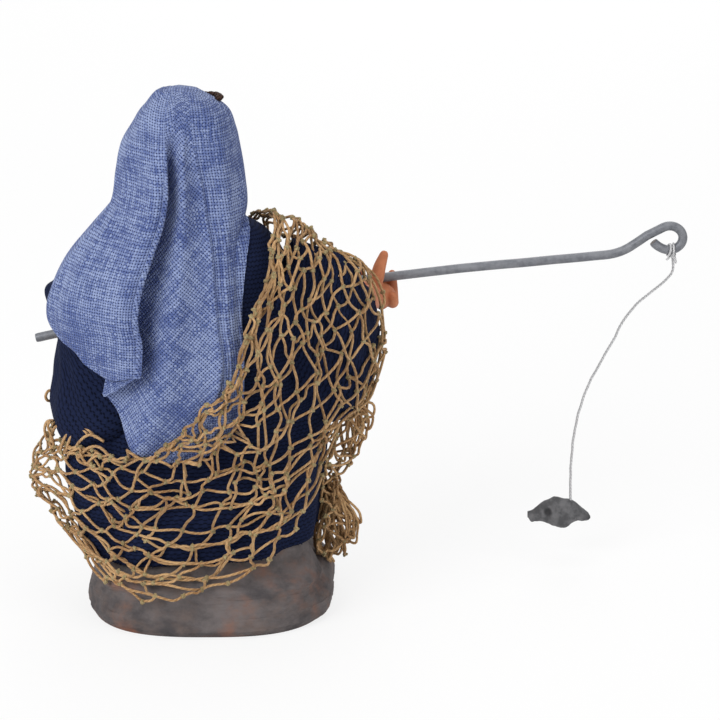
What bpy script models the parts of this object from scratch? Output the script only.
"""Seated fisherman figurine: clay rock, dressed figure, net, wire rod, line and fish.

Metres, +Z up. The figure faces +Y and its right hand is at +X. The origin is the
middle of the rock's underside.
"""
import math

import bmesh
import bpy
from mathutils import Vector
from mathutils.bvhtree import BVHTree

# Fits and cloth
CLEARANCE = 0.0003
ROBE_CLOTH = 0.0011
HEAD_CLOTH = 0.0009
HEAD_CLOTH_GAP = 0.0012

# Rock: a low foot with a ledge in front, and a seat block
ROCK_WIDTH = 0.070
ROCK_DEPTH = 0.072
LEDGE_HEIGHT = 0.0105
SEAT_WIDTH = 0.051
SEAT_DEPTH = 0.033
SEAT_HEIGHT = 0.0465
SEAT_IN_ROBE = 0.0005

# Figure: heights above the rock's underside, and widths
HEM_HEIGHT = 0.0180
KNEE_HEIGHT = 0.0550
LAP_HEIGHT = 0.0670
CROWN_HEIGHT = 0.1510
HEAD_HEIGHT = 0.0270
NECK_LENGTH = 0.0040
SHOULDER_DROP = 0.0160
NECK_HEIGHT = CROWN_HEIGHT - HEAD_HEIGHT - NECK_LENGTH
SHOULDER_HEIGHT = NECK_HEIGHT - SHOULDER_DROP
SKIRT_WIDTH = 0.0705
CHEST_WIDTH = 0.0530
SHOULDER_WIDTH = 0.0550
BACK_DEPTH = 0.0270
KNEE_REACH = 0.0300
LEAN = 0.0060

# Lower edges of the wide sleeves
RIGHT_UNDERARM = 0.0560
RIGHT_CUFF = 0.0640
LEFT_UNDERARM = 0.0510
LEFT_CUFF = 0.0500
RIGHT_ELBOW_DROP = 0.0095
LEFT_ELBOW_DROP = 0.0190

# Limbs
ARM_RADIUS = 0.0043
WRIST_RADIUS = 0.0033
THIGH_RADIUS = 0.0082
SHIN_RADIUS = 0.0048
WRIST_SHARE = 0.88
RIGHT_KNEE = 0.0100
LEFT_KNEE = -0.0200
SHIN_INSET = 0.0150
ARMHOLE_RADIUS = 0.0076
FOOT_LENGTH = 0.0230
FOOT_WIDTH = 0.0095
FOOT_HEIGHT = 0.0080
FINGER_RADIUS = 0.0017
PALM_LENGTH = 0.0130

# Head
HEAD_WIDTH = 0.0200
HEAD_DEPTH = 0.0240
NECK_RADIUS = 0.0052
HEADBAND_THICKNESS = 0.0018

# Net
TWINE = 0.0011
NET_GAP = 0.0019
NET_OVER_SLEEVE = 0.0032
NET_SHOULDER = 104
NET_ALONG = 20
NET_ACROSS = 10

# Rod, line and fish
ROD_THICKNESS = 0.0027
ROD_HEIGHT = 0.0890
ROD_REACH = 0.0250
ROD_TIP = 0.1335
LOOP_RADIUS = 0.0036
LINE_THICKNESS = 0.0008
FISH_LENGTH = 0.0190
FISH_HEIGHT = 0.0080
FISH_THICKNESS = 0.0065

MM = 0.001

# The middle of each grip, along the rod
RIGHT_GRIP = 0.0465
LEFT_GRIP = -0.0385

# The rod's gentle bow, as distance along X and height over the right grip, in mm, and the
# middle of its loop on the same scale; past the right grip it stretches to ROD_TIP
BOW_LOOP = (133.5, 12.6)
ROD_BOW = [
    (-53.5, -18.3), (-45.0, -16.4), (-20.0, -11.4), (10.0, -5.6), (35.0, -1.4), (46.5, 0.0), (57.0, 1.4),
    (71.0, 3.1), (85.0, 4.5), (99.0, 5.8), (111.0, 6.9), (116.5, 7.6), (120.5, 9.0), (124.0, 11.2), (127.5, 13.7),
]

# The fish's sections from tail to snout: share of length, of height, of thickness, and rise
FISH_SECTIONS = [
    (0.00, 0.16, 0.10, -0.06), (0.05, 0.52, 0.13, -0.04), (0.12, 0.62, 0.20, -0.02), (0.20, 0.58, 0.34, 0.02),
    (0.30, 0.78, 0.62, 0.06), (0.42, 0.96, 0.92, 0.08), (0.55, 1.00, 1.00, 0.06), (0.68, 0.94, 0.98, 0.00),
    (0.80, 0.84, 0.86, -0.08), (0.90, 0.66, 0.66, -0.14), (0.97, 0.42, 0.42, -0.18), (1.00, 0.16, 0.18, -0.20),
]

# Where the fish's tail is, in mm: X from the loop's middle, and height; and where the line is tied
FISH_TAIL = (-40.3, 14.2)
FISH_TIE = 0.68

# The line's route between the loop and the fish, in the rod's plane, in mm: X from the loop's
# middle, and height
LINE_ROUTE = [
    (1.2, 91.6), (-1.2, 88.2), (-5.0, 84.9), (-9.3, 81.0), (-13.2, 75.6), (-15.6, 70.4), (-18.1, 65.7),
    (-20.5, 60.9), (-22.6, 56.6), (-24.4, 51.5), (-25.9, 45.6), (-27.0, 38.6), (-27.5, 31.5), (-27.5, 25.0),
]


def clear_scene():
    """Remove what a new file starts with."""
    for obj in list(bpy.data.objects):
        bpy.data.objects.remove(obj, do_unlink=True)


def make_material(name, colour, roughness, metallic=0.0):
    """A plain Principled BSDF."""
    mat = bpy.data.materials.new(name)
    mat.use_nodes = True
    shader = mat.node_tree.nodes["Principled BSDF"]
    shader.inputs["Base Color"].default_value = (*colour, 1.0)
    shader.inputs["Roughness"].default_value = roughness
    shader.inputs["Metallic"].default_value = metallic
    mat.diffuse_color = (*colour, 1.0)
    return mat


def new_collection(name):
    """A collection linked to the scene."""
    group = bpy.data.collections.new(name)
    bpy.context.scene.collection.children.link(group)
    return group


def add_object(name, mesh, material, group, sharp=35.0):
    """Put a mesh into a collection as a named, smooth-shaded object."""
    obj = bpy.data.objects.new(name, mesh)
    group.objects.link(obj)
    if material is not None:
        mesh.materials.append(material)
    mesh.shade_smooth()
    mesh.set_sharp_from_angle(angle=math.radians(sharp))
    return obj


def add_cutter(name, mesh, group):
    """A helper solid that only cuts."""
    obj = bpy.data.objects.new(name, mesh)
    group.objects.link(obj)
    obj.hide_render = True
    obj.display_type = "WIRE"
    return obj


def cut(obj, cutter):
    """Subtract a cutter."""
    mod = obj.modifiers.new("cut_" + cutter.name, "BOOLEAN")
    mod.operation = "DIFFERENCE"
    mod.solver = "EXACT"
    mod.object = cutter


def smooth_value(stations, position):
    """Catmull-Rom value of a list of (position, value...) rows at a position."""
    last = len(stations) - 1
    index = 0
    while index < last - 1 and position > stations[index + 1][0]:
        index += 1
    rows = [stations[max(index - 1, 0)], stations[index]]
    rows += [stations[index + 1], stations[min(index + 2, last)]]
    span = rows[2][0] - rows[1][0]
    t = min(max((position - rows[1][0]) / span, 0.0), 1.0)
    values = []
    for column in range(1, len(rows[0])):
        a, b, c, d = (row[column] for row in rows)
        values.append(
            b + 0.5 * t * (c - a + t * (2 * a - 5 * b + 4 * c - d + t * (3 * (b - c) + d - a)))
        )
    return values


def smooth_path(points, count):
    """Evenly numbered points on a Catmull-Rom curve through the given points."""
    last = len(points) - 1
    rows = [(float(i), *point) for i, point in enumerate(points)]
    return [Vector(smooth_value(rows, last * i / (count - 1))) for i in range(count)]


def ring_mesh(name, rings, cap_start=True, cap_end=True):
    """Loft closed rings of equal point counts, with a fan of faces over each end."""
    bm = bmesh.new()
    grid = [[bm.verts.new(point) for point in ring] for ring in rings]
    count = len(rings[0])
    for lower, upper in zip(grid, grid[1:]):
        for i in range(count):
            j = (i + 1) % count
            bm.faces.new((lower[i], lower[j], upper[j], upper[i]))
    for wanted, ring in ((cap_start, grid[0]), (cap_end, grid[-1])):
        if wanted:
            middle = bm.verts.new(sum((v.co for v in ring), Vector()) / count)
            for i in range(count):
                bm.faces.new((ring[i], ring[(i + 1) % count], middle))
    bmesh.ops.recalc_face_normals(bm, faces=bm.faces)
    mesh = bpy.data.meshes.new(name)
    bm.to_mesh(mesh)
    bm.free()
    return mesh


def oval(left, right, back, front, height, count, squareness=2.2):
    """A superellipse ring between four sides, at one height."""
    ring = []
    for i in range(count):
        angle = 2 * math.pi * i / count
        c = math.copysign(abs(math.cos(angle)) ** (2 / squareness), math.cos(angle))
        s = math.copysign(abs(math.sin(angle)) ** (2 / squareness), math.sin(angle))
        ring.append(Vector((
            (left + right) / 2 + (right - left) / 2 * c,
            (back + front) / 2 + (front - back) / 2 * s,
            height,
        )))
    return ring


def limb_rings(path, radii, count=10, rounded=(True, True)):
    """Round sections square to a path, with rounded or flat ends."""
    rings = []
    for i, (point, radius) in enumerate(zip(path, radii)):
        ahead = path[min(i + 1, len(path) - 1)] - path[max(i - 1, 0)]
        ahead.normalize()
        side = ahead.cross(Vector((0, 0, 1)))
        if side.length < 0.1:
            side = ahead.cross(Vector((0, 1, 0)))
        side.normalize()
        up = side.cross(ahead)
        ring = []
        for k in range(count):
            angle = 2 * math.pi * k / count
            ring.append(point + radius * (math.cos(angle) * side + math.sin(angle) * up))
        rings.append((ring, point, ahead, radius))
    first, last = rings[0], rings[-1]
    head = [[first[1] + 0.75 * (p - first[1]) - 0.5 * first[3] * first[2] for p in first[0]]]
    tail = [[last[1] + 0.75 * (p - last[1]) + 0.5 * last[3] * last[2] for p in last[0]]]
    middle = [item[0] for item in rings]
    return head * rounded[0] + middle + tail * rounded[1]


def displaced_copy(name, mesh, distance, group):
    """A cutter: the mesh grown by a distance along its normals."""
    cutter = add_cutter(name, mesh.copy(), group)
    grow = cutter.modifiers.new("grow", "DISPLACE")
    grow.mid_level = 0.0
    grow.strength = distance
    return cutter


def evaluated_tree(obj):
    """The evaluated surface of an object, for finding the nearest point on it."""
    bpy.context.view_layer.update()
    graph = bpy.context.evaluated_depsgraph_get()
    return BVHTree.FromObject(obj, graph)


def tube(name, points, thickness, material, group, sides=2):
    """A round bar along points, with filled ends."""
    curve = bpy.data.curves.new(name, "CURVE")
    curve.dimensions = "3D"
    curve.bevel_depth = thickness / 2
    curve.bevel_resolution = sides
    curve.use_fill_caps = True
    spline = curve.splines.new("POLY")
    spline.points.add(len(points) - 1)
    for slot, point in zip(spline.points, points):
        slot.co = (*point, 1.0)
    curve.materials.append(material)
    obj = bpy.data.objects.new(name, curve)
    group.objects.link(obj)
    return obj


def tube_solid(name, points, thickness, group):
    """The same bar as a closed mesh that only cuts."""
    bar = tube(name, points, thickness, None, group)
    bpy.context.view_layer.update()
    mesh = bpy.data.meshes.new_from_object(bar.evaluated_get(bpy.context.evaluated_depsgraph_get()))
    bm = bmesh.new()
    bm.from_mesh(mesh)
    bmesh.ops.remove_doubles(bm, verts=bm.verts, dist=1e-6)
    bmesh.ops.recalc_face_normals(bm, faces=bm.faces)
    bm.to_mesh(mesh)
    bm.free()
    bpy.data.objects.remove(bar, do_unlink=True)
    return add_cutter(name, mesh, group)


def is_inside(tree, point):
    """Whether a point lies inside a closed surface: a ray from it leaves an odd number of times."""
    way = Vector((0.31, 0.17, 0.94)).normalized()
    start = Vector(point)
    crossings = 0
    while crossings < 40:
        hit, _normal, _face, _gap = tree.ray_cast(start, way)
        if hit is None:
            break
        crossings += 1
        start = hit + way * 1e-6
    return crossings % 2 == 1


def lift_clear(points, trees, distance, reach=0.020):
    """Move each point out until it lies the distance away from every closed surface near it."""
    lifted = []
    for point in points:
        place = Vector(point)
        for _ in range(3):
            for tree in trees:
                near, normal, _face, gap = tree.find_nearest(place)
                inside = is_inside(tree, place)
                if gap > reach or (gap >= distance and not inside):
                    continue
                way = (near - place) if inside else (place - near)
                way = way.normalized() if way.length > 1e-6 else normal
                place = near + way * distance
        lifted.append(place)
    return lifted


def lift_over_sheet(points, tree, distance, reach):
    """The same over an open sheet, whose faces look outwards."""
    lifted = []
    for point in points:
        near, normal, _face, gap = tree.find_nearest(point)
        under = gap < reach and (point - near).dot(normal) < distance
        lifted.append(near + normal * distance if under else Vector(point))
    return lifted


# Rock

def rock_rings():
    """Foot, ledge and seat block, from the underside up, with a hewn outline."""
    half = ROCK_WIDTH / 2
    deep = ROCK_DEPTH / 2
    seat = SEAT_WIDTH / 2
    seat_mid = -0.0030
    seat_back = -BACK_DEPTH + SEAT_IN_ROBE
    seat_front = seat_back + SEAT_DEPTH
    ledge = LEDGE_HEIGHT
    stations = [
        (-half + 0.0012, half - 0.0012, -deep + 0.0015, deep - 0.0012, 0.0, 0.0),
        (-half, half, -deep, deep, 0.0022, 0.5),
        (-half + 0.0008, half - 0.0004, -deep + 0.0010, deep - 0.0010, 0.6 * ledge, 0.9),
        (-half + 0.0035, half - 0.0028, -deep + 0.0035, deep - 0.0030, ledge, 0.6),
        (-seat + seat_mid, seat + seat_mid, seat_back - 0.0005, seat_front + 0.001, ledge + 0.0003, 0.2),
    ]
    for share, pull in ((0.35, 0.0), (0.7, 0.0006), (0.93, 0.0014)):
        height = ledge + (SEAT_HEIGHT - ledge) * share
        stations.append((
            -seat + seat_mid + pull, seat + seat_mid - pull,
            seat_back + pull, seat_front - pull, height, 0.6,
        ))
    stations.append((
        -seat + seat_mid + 0.004, seat + seat_mid - 0.004,
        seat_back + 0.004, seat_front - 0.004, SEAT_HEIGHT, 0.0,
    ))
    rings = []
    for row, (left, right, back, front, height, rough) in enumerate(stations):
        ring = oval(left, right, back, front, height, 32, 2.25)
        centre = Vector(((left + right) / 2, (back + front) / 2, height))
        for i, point in enumerate(ring):
            angle = 2 * math.pi * i / 32
            wave = math.sin(3 * angle + 0.9 * row) + 0.7 * math.sin(7 * angle - 1.3 * row)
            outward = (point - centre).normalized()
            ring[i] = point + outward * (0.0005 * rough * wave)
        rings.append(ring)
    return rings


# Robe and body share these sections

def robe_stations():
    """Rows of height, left, right, back and front of the robe's outside, hem to neck."""
    skirt = SKIRT_WIDTH / 2
    chest = CHEST_WIDTH / 2
    shoulder = SHOULDER_WIDTH / 2
    back = BACK_DEPTH
    reach = KNEE_REACH
    hem, knee, lap = HEM_HEIGHT, KNEE_HEIGHT, LAP_HEIGHT
    top, neck = SHOULDER_HEIGHT, NECK_HEIGHT
    lean = LEAN
    waist = lap + 0.35 * (top - lap)
    return [
        (hem, -skirt - 0.0030, skirt - 0.0070, -back - 0.0030, reach - 0.0020),
        (hem + 0.20 * (knee - hem), -skirt - 0.0050, skirt - 0.0055, -back - 0.0035, reach - 0.0010),
        (hem + 0.45 * (knee - hem), -skirt - 0.0070, skirt - 0.0045, -back - 0.0035, reach),
        (hem + 0.72 * (knee - hem), -skirt - 0.0075, skirt - 0.0035, -back - 0.0025, reach),
        (knee, -skirt - 0.0010, skirt - 0.0020, -back - 0.0015, reach - 0.0005),
        (knee + 0.55 * (lap - knee), -skirt + 0.0020, skirt - 0.0040, -back - 0.0010, reach - 0.0040),
        (knee + 0.88 * (lap - knee), -skirt + 0.0030, skirt - 0.0060, -back - 0.0005, reach - 0.0120),
        (lap + 0.0015, -chest - lean, chest - lean + 0.0050, -back, 0.0130),
        (waist, -chest - lean + 0.0030, chest - lean + 0.0020, -back, 0.0090),
        (0.5 * (waist + top), -chest - lean + 0.0020, chest - lean + 0.0010, -back + 0.0005, 0.0085),
        (top, -shoulder - lean, shoulder - lean + 0.0005, -back + 0.0020, 0.0060),
        (top + 0.50 * (neck - top), -shoulder - lean + 0.0045, shoulder - lean - 0.0040,
         -back + 0.0050, 0.0035),
        (top + 0.80 * (neck - top), -shoulder - lean + 0.0110, shoulder - lean - 0.0110,
         -back + 0.0085, 0.0010),
        (neck, -0.0185, -0.0015, -0.0150, 0.0020),
    ]


def robe_rings(count=32, inset=0.0, folds=True):
    """Rings of the robe's outside, or set inwards by a distance, without its folds."""
    rings = []
    for height, left, right, back, front in robe_stations():
        ring = oval(left + inset, right - inset, back + inset, front - inset, height, count, 2.25)
        share = max(0.0, 1.0 - (height - HEM_HEIGHT) / (LAP_HEIGHT - HEM_HEIGHT))
        centre = Vector(((left + right) / 2, (back + front) / 2, height))
        for i, point in enumerate(ring):
            angle = 2 * math.pi * i / count
            wave = math.sin(9 * angle) + 0.5 * math.sin(5 * angle + 1.0)
            depth = (0.0006 * share + 0.0001) * (wave + 0.8) if folds else 0.0
            ring[i] = point + (point - centre).normalized() * depth
        rings.append(ring)
    return rings


def make_robe(arms, material, group, cutters):
    """The robe's shell, with its two armholes."""
    mesh = ring_mesh("robe", robe_rings(), False, False)
    robe = add_object("robe", mesh, material, group)
    shell = robe.modifiers.new("cloth", "SOLIDIFY")
    shell.thickness = ROBE_CLOTH
    shell.offset = -1.0
    for number, arm in enumerate(arms):
        path = [arm_point(arm, share) for share in (0.02, 0.2, 0.4)]
        rings = limb_rings(path, [ARMHOLE_RADIUS - ROBE_CLOTH] * 3, 16)
        cut(robe, add_cutter("armhole_%d" % number, ring_mesh("armhole", rings), cutters))
    outside = ring_mesh("robe_outside", robe_rings())
    grown = displaced_copy("robe_outside", outside, CLEARANCE, cutters)
    return robe, grown


def arm_point(arm, share):
    """A point on the bent arm, from the shoulder to the wrist."""
    shoulder, elbow, wrist = arm
    rest = 1 - share
    return rest * rest * shoulder + 2 * rest * share * elbow + share * share * wrist


def arm_heading(arm, share):
    """The arm's direction at that point."""
    shoulder, elbow, wrist = arm
    return ((1 - share) * (elbow - shoulder) + share * (wrist - elbow)).normalized()


def make_body(arms, material, group):
    """The padded trunk, and the meshes of the limbs that join it."""
    inset = ROBE_CLOTH + CLEARANCE + 0.0006
    trunk = [[p - Vector((0, 0, 0.0012)) for p in ring] for ring in robe_rings(24, inset, False)[8:]]
    seat_ring = oval(
        -SEAT_WIDTH / 2 - 0.001, SEAT_WIDTH / 2 - 0.005, -BACK_DEPTH + inset + 0.0015, 0.008,
        SEAT_HEIGHT + CLEARANCE, 24, 2.25,
    )
    hip_ring = oval(
        -SEAT_WIDTH / 2 - 0.002, SEAT_WIDTH / 2 - 0.005, -BACK_DEPTH + inset, 0.008, KNEE_HEIGHT, 24, 2.25,
    )
    body = add_object("body", ring_mesh("body", [seat_ring, hip_ring] + trunk), material, group)
    limbs = []
    for arm in arms:
        shares = [0.06 + (WRIST_SHARE - 0.06) * i / 6 for i in range(7)]
        path = [arm_point(arm, share) for share in shares]
        radii = [ARM_RADIUS + (WRIST_RADIUS - ARM_RADIUS) * share ** 2 for share in shares]
        limbs.append(ring_mesh("arm", limb_rings(path, radii, 10, (True, False))))
    for hip, knee in ((RIGHT_KNEE - 0.0040, RIGHT_KNEE), (LEFT_KNEE + 0.0030, LEFT_KNEE)):
        top = Vector((hip, -0.010, KNEE_HEIGHT))
        bend = Vector((knee, KNEE_REACH - SHIN_INSET, KNEE_HEIGHT - 0.0010))
        ankle = Vector((knee, KNEE_REACH - SHIN_INSET, LEDGE_HEIGHT + FOOT_HEIGHT + 0.0030))
        limbs.append(ring_mesh("thigh", limb_rings([top, bend], [THIGH_RADIUS, 0.85 * THIGH_RADIUS])))
        shin = [bend, bend.lerp(ankle, 0.4), ankle]
        limbs.append(ring_mesh("shin", limb_rings(shin, [SHIN_RADIUS, SHIN_RADIUS, 0.8 * SHIN_RADIUS])))
    return body, limbs


def join_limbs(body, limbs, cutters):
    """Union of the limbs with the trunk."""
    for number, mesh in enumerate(limbs):
        name = body.name + "_limb_%d" % number
        mod = body.modifiers.new(name, "BOOLEAN")
        mod.operation = "UNION"
        mod.solver = "EXACT"
        mod.object = add_cutter(name, mesh, cutters)


def sleeve_rings(arm, underarm, cuff, end=0.94, count=22):
    """Upright oval sections along an arm, from its top down to the hanging lower edge."""
    wide = ARMHOLE_RADIUS
    sections = [
        (0.10, wide + 0.0010, SHOULDER_HEIGHT - 2 * wide), (0.30, wide + 0.0006, underarm + 0.0080),
        (0.50, wide + 0.0004, underarm), (0.68, wide + 0.0008, underarm + 0.3 * (cuff - underarm)),
        (0.82, wide + 0.0010, underarm + 0.7 * (cuff - underarm)), (end, wide + 0.0010, cuff),
    ]
    rings = []
    for share, half_width, bottom in sections:
        centre = arm_point(arm, share)
        top = centre.z + wide
        centre.z = (top + bottom) / 2
        ahead = arm_heading(arm, share)
        ahead.z *= 1 - min(share, 1.0)
        side = ahead.cross(Vector((0, 0, 1))).normalized()
        up = side.cross(ahead.normalized())
        ring = []
        for k in range(count):
            angle = 2 * math.pi * k / count
            c = math.copysign(abs(math.cos(angle)) ** 0.77, math.cos(angle))
            s = math.copysign(abs(math.sin(angle)) ** 0.77, math.sin(angle))
            ring.append(centre + half_width * c * side + (top - bottom) / 2 * s * up)
        rings.append(ring)
    return rings


def make_sleeve(name, arm, underarm, cuff, material, group, cutters, robe_outside):
    """A wide sleeve, narrow at the armhole and open below the wrist, and its closed outside."""
    rings = sleeve_rings(arm, underarm, cuff)
    sleeve = add_object(name, ring_mesh(name, rings, False, False), material, group)
    shell = sleeve.modifiers.new("cloth", "SOLIDIFY")
    shell.thickness = ROBE_CLOTH
    shell.offset = -1.0
    cut(sleeve, robe_outside)
    beyond = sleeve_rings(arm, underarm, cuff, 1.12)
    return add_cutter(name + "_outside", ring_mesh(name, beyond), cutters)


# Hands and feet

def ball_rings(centre, half, count=12, rows=7):
    """Rings of an ellipsoid along X."""
    rings = []
    for i in range(rows):
        polar = math.pi * (i + 0.5) / rows
        ring = []
        for k in range(count):
            angle = 2 * math.pi * k / count
            ring.append(centre + Vector((
                -half.x * math.cos(polar),
                half.y * math.sin(polar) * math.cos(angle),
                half.z * math.sin(polar) * math.sin(angle),
            )))
        rings.append(ring)
    return rings


def make_hand(name, grip, arm, outward, material, group, cutters, rod_cutter):
    """A fist under the rod: four fingers curl under it and the thumb stands behind it."""
    palm_mid = grip + Vector((-0.0008 * outward, -0.0012, -0.0052))
    palm = ball_rings(palm_mid, Vector((PALM_LENGTH / 2, 0.0052, 0.0046)))
    hand = add_object(name, ring_mesh(name, palm), material, group)
    r = FINGER_RADIUS
    pieces = []
    for number in range(4):
        along = outward * (PALM_LENGTH / 2 - 0.0016 - 1.85 * r * number)
        stretch = 1.0 - 0.05 * abs(number - 1)
        curl = [
            Vector((along, -0.0045, -0.0062)), Vector((along, -0.0010, -0.0090 * stretch)),
            Vector((along, 0.0036, -0.0078 * stretch)), Vector((along, 0.0052, -0.0035)),
            Vector((along, 0.0042, 0.0006)),
        ]
        path = smooth_path([grip + point for point in curl], 8)
        widths = [r * (1.0 - 0.02 * i) for i in range(8)]
        pieces.append(ring_mesh("finger", limb_rings(path, widths, 8)))
    thumb = [
        Vector((-0.0020 * outward, -0.0050, -0.0040)), Vector((0.0010 * outward, -0.0048, 0.0005)),
        Vector((0.0030 * outward, -0.0042, 0.0060)),
    ]
    path = smooth_path([grip + point for point in thumb], 5)
    widths = [r * (1.25 - 0.08 * i) for i in range(5)]
    pieces.append(ring_mesh("thumb", limb_rings(path, widths, 8)))
    start = arm_point(arm, WRIST_SHARE) + 2 * CLEARANCE * arm_heading(arm, WRIST_SHARE)
    heel = [start, arm_point(arm, 0.5 * (1 + WRIST_SHARE)), palm_mid]
    pieces.append(ring_mesh("heel", limb_rings(heel, [WRIST_RADIUS] * 3, 10, (False, True))))
    join_limbs(hand, pieces, cutters)
    cut(hand, rod_cutter)
    return hand


def make_foot(name, ankle, material, group):
    """A plain foot, sole down, with its neck under the shin."""
    half = FOOT_WIDTH / 2
    heel = -0.30 * FOOT_LENGTH
    sections = [
        (0.00, 0.55, 0.45), (0.06, 0.80, 0.75), (0.25, 0.85, 1.00), (0.45, 0.85, 0.86), (0.65, 0.98, 0.62),
        (0.82, 1.00, 0.48), (0.94, 0.88, 0.38), (1.00, 0.60, 0.24),
    ]
    rings = []
    for share, wide, high in sections:
        ring = []
        for k in range(14):
            angle = 2 * math.pi * k / 14
            level = max(-0.80, math.sin(angle))
            ring.append(Vector((
                ankle.x + half * wide * math.cos(angle),
                ankle.y + heel + FOOT_LENGTH * share,
                ankle.z + FOOT_HEIGHT * high * (level + 0.80) / 1.80,
            )))
        rings.append(ring)
    return add_object(name, ring_mesh(name, rings), material, group)


# Head

HEAD_PLACE = Vector((-0.0100, -0.0010, 0.0))


def head_radius(angle, share):
    """Distance from the head's axis at an angle from the face and a share of its height.

    Share 0 is the chin and 1 the crown; the eyes are at half the height, the nose ends a
    third of the way from brow to chin, and the beard is a soft mass along the jaw.
    """
    side, ahead = math.sin(angle), math.cos(angle)
    swell = math.sin(math.pi * min(max(0.10 + 0.84 * share, 0.0), 1.0)) ** 0.55
    wide = HEAD_WIDTH / 2 * swell
    deep = HEAD_DEPTH / 2 * swell * (1.0 if ahead > 0 else 1.02)
    radius = 1.0 / math.sqrt((side / wide) ** 2 + (ahead / deep) ** 2)
    turn = abs(math.atan2(side, ahead))
    nose = math.exp(-((turn / 0.16) ** 2)) * math.exp(-(((share - 0.40) / 0.075) ** 2))
    bridge = math.exp(-((turn / 0.13) ** 2)) * math.exp(-(((share - 0.50) / 0.09) ** 2))
    brow = math.exp(-((turn / 0.75) ** 2)) * math.exp(-(((share - 0.60) / 0.05) ** 2))
    eyes = math.exp(-(((turn - 0.36) / 0.16) ** 2)) * math.exp(-(((share - 0.51) / 0.05) ** 2))
    beard = math.exp(-((turn / 1.15) ** 4)) * math.exp(-(((share - 0.08) / 0.17) ** 2))
    radius += HEAD_DEPTH * (0.115 * nose + 0.045 * bridge + 0.022 * brow - 0.045 * eyes + 0.10 * beard)
    return radius


def make_head(material, group):
    """Head, beard and neck in one piece."""
    count = 24
    chin = CROWN_HEIGHT - HEAD_HEIGHT
    rings = []
    neck_place = HEAD_PLACE + Vector((0, -0.0045, 0))
    for height in (NECK_HEIGHT - 0.0012 + 2 * CLEARANCE, chin - 0.0015):
        ring = []
        for i in range(count):
            angle = 2 * math.pi * i / count
            ring.append(neck_place + Vector((
                NECK_RADIUS * math.sin(angle), NECK_RADIUS * math.cos(angle), height,
            )))
        rings.append(ring)
    for share in (0.0, 0.08, 0.16, 0.24, 0.31, 0.37, 0.43, 0.5, 0.57, 0.64, 0.72, 0.80, 0.88, 0.95, 1.0):
        ring = []
        for i in range(count):
            angle = 2 * math.pi * i / count
            radius = head_radius(angle, share)
            ring.append(HEAD_PLACE + Vector((
                radius * math.sin(angle), radius * math.cos(angle), chin + share * HEAD_HEIGHT,
            )))
        rings.append(ring)
    return add_object("head", ring_mesh("head", rings), material, group)


# Headcloth

def headcloth_rows():
    """Rows of points in mm from the crown down, from the left front round the back to the right."""
    return [
        [(-9, 7.5, -1.2), (-16, 2.5, -1.4), (-17, -5, -1.4), (-9.5, -9, -1.2), (-1.5, -6, -1.4), (-1, 2, -1.4),
         (-9, 7.5, -1.2)],
        [(-9.5, 11.8, -5), (-20.5, 4, -5), (-21, -8, -5), (-10, -13.5, -4), (1.5, -9, -4.5), (2.5, 3.5, -5),
         (-9.5, 11.8, -5)],
        [(-9.5, 14, -10.5), (-24, 5, -10), (-23.5, -10.5, -10), (-10.5, -16.5, -9.5), (3, -12, -10),
         (5, 3, -10.5), (-9.5, 14, -10.5)],
        [(-17.5, 13.4, -15.5), (-26.5, 3, -15), (-25, -13.5, -15), (-11, -19, -15), (3.5, -14.5, -15),
         (6.5, 0, -15.5), (-2.5, 13.2, -15.5)],
        [(-23, 10, -23), (-28, 0, -22), (-26, -16, -23), (-12, -21.5, -23), (3.5, -17, -23), (8, -4, -23),
         (2.5, 9, -23)],
        [(-25, 9, -31), (-30, -1, -30), (-28, -18, -32), (-13, -24, -32), (4, -21, -32), (9, -9, -31),
         (6, 3, -31)],
        [(-32, 8, -40), (-36, -2, -38), (-33, -20, -39), (-15, -26.5, -40), (2, -25, -40), (9, -18, -38),
         (11, -10, -36)],
        [(-36.5, 8, -49), (-41, -3, -47), (-37, -21.5, -48), (-17, -28.5, -49), (1, -28, -50), (8, -24.5, -49),
         (10, -20, -46)],
        [(-42, 7, -57), (-47, -4, -56), (-41, -22, -58), (-20, -29.5, -60), (-1, -30, -61), (6, -28.5, -61),
         (9, -26, -60)],
        [(-44, 5, -64), (-48, -5, -65), (-42, -22, -68), (-22, -30.5, -71), (-4, -31, -73), (5, -30, -74),
         (9, -28, -74)],
        [(-43, 3, -69), (-46, -7, -71), (-38, -23, -76), (-24, -31, -84), (-8, -32, -86), (2, -31, -87),
         (7, -29, -87)],
        [(-41, 1, -72), (-41, -12, -76), (-32, -26, -83), (-26, -31, -92), (-15, -32.5, -98), (-5, -32, -98),
         (1, -31, -97)],
    ]


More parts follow.
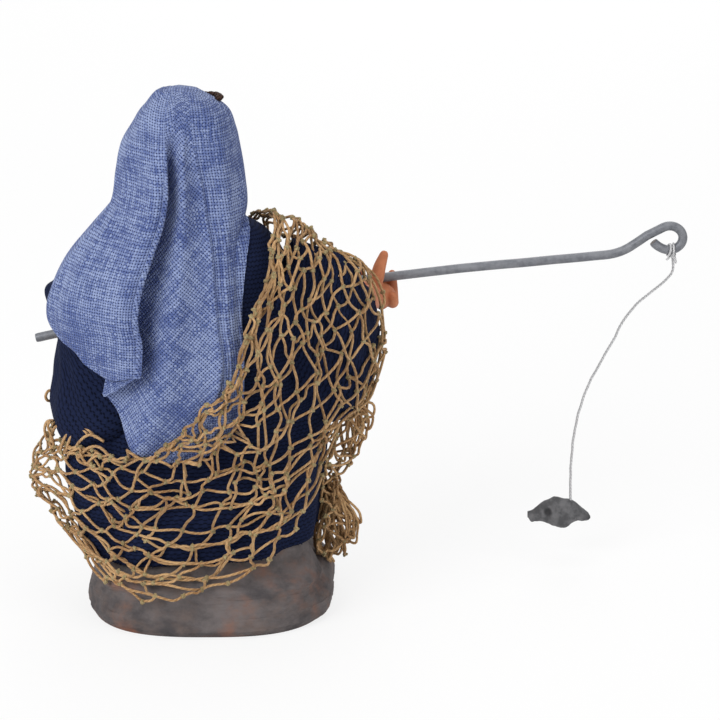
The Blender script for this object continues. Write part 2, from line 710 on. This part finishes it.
def make_headcloth(material, group, cutters, trees):
    """The cloth over head and back: a draped sheet with its long folds."""
    across, along = 29, 25
    crown = HEAD_PLACE + Vector((0, 0, CROWN_HEIGHT + 2 * CLEARANCE))
    lift = Vector((0, 0, CROWN_HEIGHT + 0.0010))
    rows = [smooth_path([lift + MM * Vector(point) for point in row], across) for row in headcloth_rows()]
    columns = [smooth_path([row[i] for row in rows], along) for i in range(across)]
    grid = [[columns[i][j] for i in range(across)] for j in range(along)]
    for j, row in enumerate(grid):
        down = j / (along - 1)
        strength = min(1.0, max(0.0, 4 * (down - 0.15)))
        for i, point in enumerate(row):
            turn = i / (across - 1)
            groove = math.exp(-(((turn - 0.47) / 0.022) ** 2))
            ridge = math.exp(-(((turn - 0.42) / 0.032) ** 2))
            crease = math.exp(-(((turn - 0.66) / 0.032) ** 2))
            ripple = math.sin(24 * turn + 2.5 * down)
            push = strength * (0.0015 * ridge - 0.0010 * groove + 0.0012 * crease + 0.0003 * ripple)
            out = Vector((point.x - crown.x, point.y - crown.y, 0)).normalized()
            row[i] = point + out * push
        if (row[0] - row[-1]).length < 0.0015:
            row[0] = row[-1] = (row[0] + row[-1]) / 2
    flat = lift_clear([point for row in grid for point in row], trees, HEAD_CLOTH_GAP)
    bm = bmesh.new()
    verts = [bm.verts.new(point) for point in flat]
    for j in range(along - 1):
        for i in range(across - 1):
            a = j * across + i
            bm.faces.new((verts[a], verts[a + across], verts[a + across + 1], verts[a + 1]))
    top = bm.verts.new(crown + Vector((0, 0, HEAD_CLOTH)))
    for i in range(across - 1):
        bm.faces.new((verts[i], verts[i + 1], top))
    bmesh.ops.remove_doubles(bm, verts=bm.verts, dist=1e-5)
    bmesh.ops.recalc_face_normals(bm, faces=bm.faces)
    if sum(face.normal.z for face in top.link_faces) < 0:
        bmesh.ops.reverse_faces(bm, faces=bm.faces)
    mesh = bpy.data.meshes.new("headcloth")
    bm.to_mesh(mesh)
    bm.free()
    cloth = add_object("headcloth", mesh, material, group)
    shell = cloth.modifiers.new("cloth", "SOLIDIFY")
    shell.thickness = HEAD_CLOTH
    shell.offset = 1.0
    return cloth, displaced_copy("headcloth_outside", mesh, HEAD_CLOTH, cutters)


def make_headband(material, group, tree):
    """A cord round the front of the headcloth, higher on the right, its ends at the folds."""
    points = []
    for i in range(21):
        angle = math.radians(-92 + 190 * i / 20)
        out = Vector((math.sin(angle), math.cos(angle), 0))
        middle = HEAD_PLACE + Vector((0, 0, CROWN_HEIGHT - 0.0060 + 0.0040 * math.sin(angle)))
        near, normal, _face, _gap = tree.ray_cast(middle + 0.040 * out, -out)
        points.append(near + normal * (HEADBAND_THICKNESS / 2 + 2 * CLEARANCE))
    return tube("headband", points, HEADBAND_THICKNESS, material, group, 1)


# Rod, line and fish

def rod_place(x):
    """A distance on the bow's scale as a place along X: past the right grip it follows the tip."""
    past = max(0.0, MM * x - RIGHT_GRIP)
    stretch = (ROD_TIP - RIGHT_GRIP) / (MM * BOW_LOOP[0] - RIGHT_GRIP)
    return MM * x + past * (stretch - 1)


def rod_point(along):
    """The middle of the rod at a distance along X."""
    rows = [(rod_place(x), MM * rise) for x, rise in ROD_BOW]
    return Vector((along, ROD_REACH, ROD_HEIGHT + smooth_value(rows, along)[0]))


def rod_path():
    """The shank, its bend and the loop at the tip, whose end stands a little nearer the back."""
    bow = [Vector((rod_place(x), ROD_REACH, ROD_HEIGHT + MM * rise)) for x, rise in ROD_BOW]
    points = smooth_path(bow, 20)
    eye = loop_middle()
    start = math.radians(118)
    turns = 15
    for i in range(turns + 1):
        angle = start - math.radians(305) * i / turns
        aside = 0.0006 * i / turns
        points.append(eye + Vector((
            1.08 * LOOP_RADIUS * math.cos(angle), -aside, LOOP_RADIUS * math.sin(angle),
        )))
    return points


def loop_middle():
    """The middle of the loop at the rod's tip."""
    return Vector((ROD_TIP, ROD_REACH, ROD_HEIGHT + MM * BOW_LOOP[1]))


def make_line(material, group):
    """The thread, from just under the loop's wire to just over the fish's back."""
    loop_side = loop_middle() + Vector((MM, 0, -LOOP_RADIUS - ROD_THICKNESS / 2 - CLEARANCE))
    section = smooth_value(FISH_SECTIONS, FISH_TIE)
    fish_back = fish_point(FISH_TIE, section[0] / 2 + section[2]) + Vector((0, 0, CLEARANCE))
    middle = [Vector((ROD_TIP + MM * x, ROD_REACH, MM * height)) for x, height in LINE_ROUTE]
    route = [loop_side] + middle + [fish_back]
    return tube("fishing_line", smooth_path(route, 32), LINE_THICKNESS, material, group)


def fish_point(along, rise):
    """A point in the fish's middle plane, at shares of its length and height from the tail."""
    return Vector((
        ROD_TIP + MM * FISH_TAIL[0] + FISH_LENGTH * along, ROD_REACH, MM * FISH_TAIL[1] + FISH_HEIGHT * rise,
    ))


def make_fish(material, group):
    """A small fish lying level, tail to the left, with a back hump and a belly fin."""
    rings = []
    for share, high, wide, rise in FISH_SECTIONS:
        centre = fish_point(share, rise)
        ring = []
        for k in range(14):
            angle = 2 * math.pi * k / 14
            ring.append(centre + Vector((
                0,
                FISH_THICKNESS / 2 * wide * math.cos(angle),
                FISH_HEIGHT / 2 * high * math.sin(angle),
            )))
        rings.append(ring)
    return add_object("fish", ring_mesh("fish", rings), material, group)


# Net

def net_rows():
    """Rows of points from the front chest over the shoulder, down the back to the left hip.

    Each row runs from the gathered inner edge to the open outer edge. Sides and depths are
    in mm, and heights are in parts of which the shoulder's height has NET_SHOULDER.
    """
    return [
        [(6, 11, 100), (14, 11, 97), (22, 11, 95), (30, 9, 98), (36, 8, 101), (42, 8, 101)],
        [(9, 6, 113), (17, 7, 108), (26, 6, 105), (33, 4, 104), (39, 3, 104), (46, 4, 100)],
        [(14, -7, 118), (23, -7, 115), (32, -6, 110), (38, -4, 106), (45, -1, 102), (51, 2, 95)],
        [(14, -22, 112), (21, -20, 110), (30, -17, 106), (39, -13, 99), (47, -6, 92), (53, 2, 84)],
        [(13, -27, 102), (20, -26, 99), (29, -22, 94), (40, -17, 86), (49, -7, 79), (53, 3, 72)],
        [(10, -31, 91), (17, -29, 87), (26, -26, 81), (37, -20, 74), (47, -5, 68), (49, 8, 61)],
        [(7, -33, 81), (14, -31, 75), (24, -28, 69), (35, -22, 61), (44, -7, 57), (46, 7, 50)],
        [(1, -34, 73), (9, -32, 65), (19, -29, 57), (30, -23, 50), (40, -8, 46), (44, 6, 40)],
        [(-5, -34, 67), (3, -32, 57), (13, -30, 47), (24, -25, 38), (36, -11, 34), (42, 4, 28)],
        [(-11, -34, 60), (-4, -32, 51), (5, -32, 40), (15, -31, 29), (29, -22, 22), (39, -4, 17)],
        [(-18, -32, 55), (-13, -31.5, 45), (-7, -32, 33), (-1, -33, 21), (7, -34.5, 16), (20, -33, 14)],
        [(-25, -30, 53), (-22, -30, 41), (-19, -31, 28), (-15, -33, 16), (-12, -37, 9), (-6, -39, 8)],
        [(-33, -23, 51), (-33, -26, 40), (-32, -28, 26), (-28, -32, 15), (-25, -35, 9), (-21, -37, 7)],
        [(-41, -13, 51), (-43, -16, 40), (-41, -20, 28), (-37, -25, 20), (-34, -29, 14), (-31, -32, 11)],
        [(-47, -3, 49), (-50, -5, 41), (-50, -8, 33), (-46, -13, 27), (-42, -18, 22), (-39, -23, 18)],
        [(-47, 8, 50), (-51, 7, 43), (-51, 6, 35), (-47, 3, 29), (-44, -2, 25), (-42, -8, 22)],
    ]


def make_net(material, group, trees, sleeve_trees, cloth_tree):
    """The net as one wall of diamond meshes, lying clear of the clothes."""
    part = SHOULDER_HEIGHT / NET_SHOULDER
    placed = [[Vector((MM * x, MM * y, part * height)) for x, y, height in row] for row in net_rows()]
    rows = [smooth_path(row, NET_ACROSS + 1) for row in placed]
    columns = [smooth_path([row[i] for row in rows], NET_ALONG + 1) for i in range(NET_ACROSS + 1)]
    flat = [columns[i][j] for j in range(NET_ALONG + 1) for i in range(NET_ACROSS + 1)]

    def lie(points):
        over = lift_over_sheet(points, cloth_tree, NET_GAP, 0.004)
        for _ in range(2):
            over = lift_clear(over, sleeve_trees, NET_OVER_SLEEVE)
            over = lift_clear(over, trees, NET_GAP)
        return over

    flat = lie(lie(flat))
    bm = bmesh.new()
    across = NET_ACROSS + 1
    knots = {}
    middles = {}
    for j in range(1, NET_ALONG):
        for i in range(1, NET_ACROSS):
            if (i + j) % 2 == 0:
                continue
            here = j * across + i
            corners = (here - across, here - 1, here + across, here + 1)
            outer = []
            for k, corner in enumerate(corners):
                following = corners[(k + 1) % 4]
                if corner not in knots:
                    knots[corner] = bm.verts.new(flat[corner])
                side = tuple(sorted((corner, following)))
                if side not in middles:
                    middles[side] = bm.verts.new(lie([(flat[corner] + flat[following]) / 2])[0])
                outer += [knots[corner], middles[side]]
            centre = sum((v.co for v in outer), Vector()) / 8
            inner = []
            for v in outer:
                inward = centre - v.co
                inner.append(bm.verts.new(lie([v.co + inward * min(0.5, 0.75 * TWINE / inward.length)])[0]))
            for k in range(8):
                n = (k + 1) % 8
                bm.faces.new((outer[k], outer[n], inner[n], inner[k]))
    bmesh.ops.recalc_face_normals(bm, faces=bm.faces)
    mesh = bpy.data.meshes.new("net")
    bm.to_mesh(mesh)
    bm.free()
    net = add_object("net", mesh, material, group, sharp=50.0)
    twine = net.modifiers.new("twine", "SOLIDIFY")
    twine.thickness = TWINE
    twine.offset = 0.0
    return net


def main():
    clear_scene()
    parts = new_collection("seated_fisherman")
    cutters = new_collection("cutters")
    terracotta = make_material("terracotta", (0.48, 0.16, 0.07), 0.7)
    stone = make_material("rock_wash", (0.17, 0.14, 0.13), 0.85)
    padding = make_material("padding", (0.45, 0.36, 0.22), 0.9)
    navy = make_material("navy_knit", (0.01, 0.015, 0.045), 0.95)
    linen = make_material("blue_linen", (0.16, 0.22, 0.50), 0.9)
    brown = make_material("brown_cord", (0.05, 0.02, 0.015), 0.9)
    twine = make_material("twine", (0.40, 0.25, 0.12), 0.9)
    wire = make_material("galvanised_wire", (0.30, 0.31, 0.33), 0.5, 0.9)
    thread = make_material("thread", (0.60, 0.60, 0.60), 0.8)
    clay = make_material("grey_clay", (0.10, 0.09, 0.09), 0.8)

    rod = tube("rod", rod_path(), ROD_THICKNESS, wire, parts)
    rod_cutter = tube_solid("rod_bore", rod_path(), ROD_THICKNESS + 2 * CLEARANCE, cutters)
    right_grip, left_grip = rod_point(RIGHT_GRIP), rod_point(LEFT_GRIP)
    right_wrist = right_grip + Vector((-0.0010, -0.0090, -0.0035))
    left_wrist = left_grip + Vector((0.0010, -0.0090, -0.0030))
    chest_side = SHOULDER_WIDTH / 2 - 0.0065
    right_arm = [
        Vector((chest_side - LEAN, -0.0090, SHOULDER_HEIGHT)),
        Vector((0.0410, -0.0110, SHOULDER_HEIGHT - RIGHT_ELBOW_DROP)), right_wrist,
    ]
    left_arm = [
        Vector((-chest_side - LEAN, -0.0090, SHOULDER_HEIGHT)),
        Vector((-0.0385, -0.0120, SHOULDER_HEIGHT - LEFT_ELBOW_DROP)), left_wrist,
    ]

    rock = add_object("rock_base", ring_mesh("rock_base", rock_rings()), stone, parts)
    robe, robe_outside = make_robe((right_arm, left_arm), navy, parts, cutters)
    body, limbs = make_body((right_arm, left_arm), padding, parts)
    join_limbs(body, limbs, cutters)
    sleeves = [
        make_sleeve("right_sleeve", right_arm, RIGHT_UNDERARM, RIGHT_CUFF, navy, parts, cutters, robe_outside),
        make_sleeve("left_sleeve", left_arm, LEFT_UNDERARM, LEFT_CUFF, navy, parts, cutters, robe_outside),
    ]
    hands = [
        make_hand("right_hand", right_grip, right_arm, 1, terracotta, parts, cutters, rod_cutter),
        make_hand("left_hand", left_grip, left_arm, -1, terracotta, parts, cutters, rod_cutter),
    ]
    for name, knee in (("right_foot", RIGHT_KNEE), ("left_foot", LEFT_KNEE)):
        ankle = Vector((knee, KNEE_REACH - SHIN_INSET, LEDGE_HEIGHT + 2 * CLEARANCE))
        make_foot(name, ankle, terracotta, parts)
    head = make_head(terracotta, parts)
    supports = [evaluated_tree(obj) for obj in (robe_outside, head)]
    sleeve_trees = [evaluated_tree(obj) for obj in sleeves]
    headcloth, outer_cloth = make_headcloth(linen, parts, cutters, supports + sleeve_trees)
    make_headband(brown, parts, evaluated_tree(headcloth))
    supports += [evaluated_tree(obj) for obj in hands + [rock]]
    make_net(twine, parts, supports, sleeve_trees, evaluated_tree(outer_cloth))
    make_line(thread, parts)
    make_fish(clay, parts)


main()
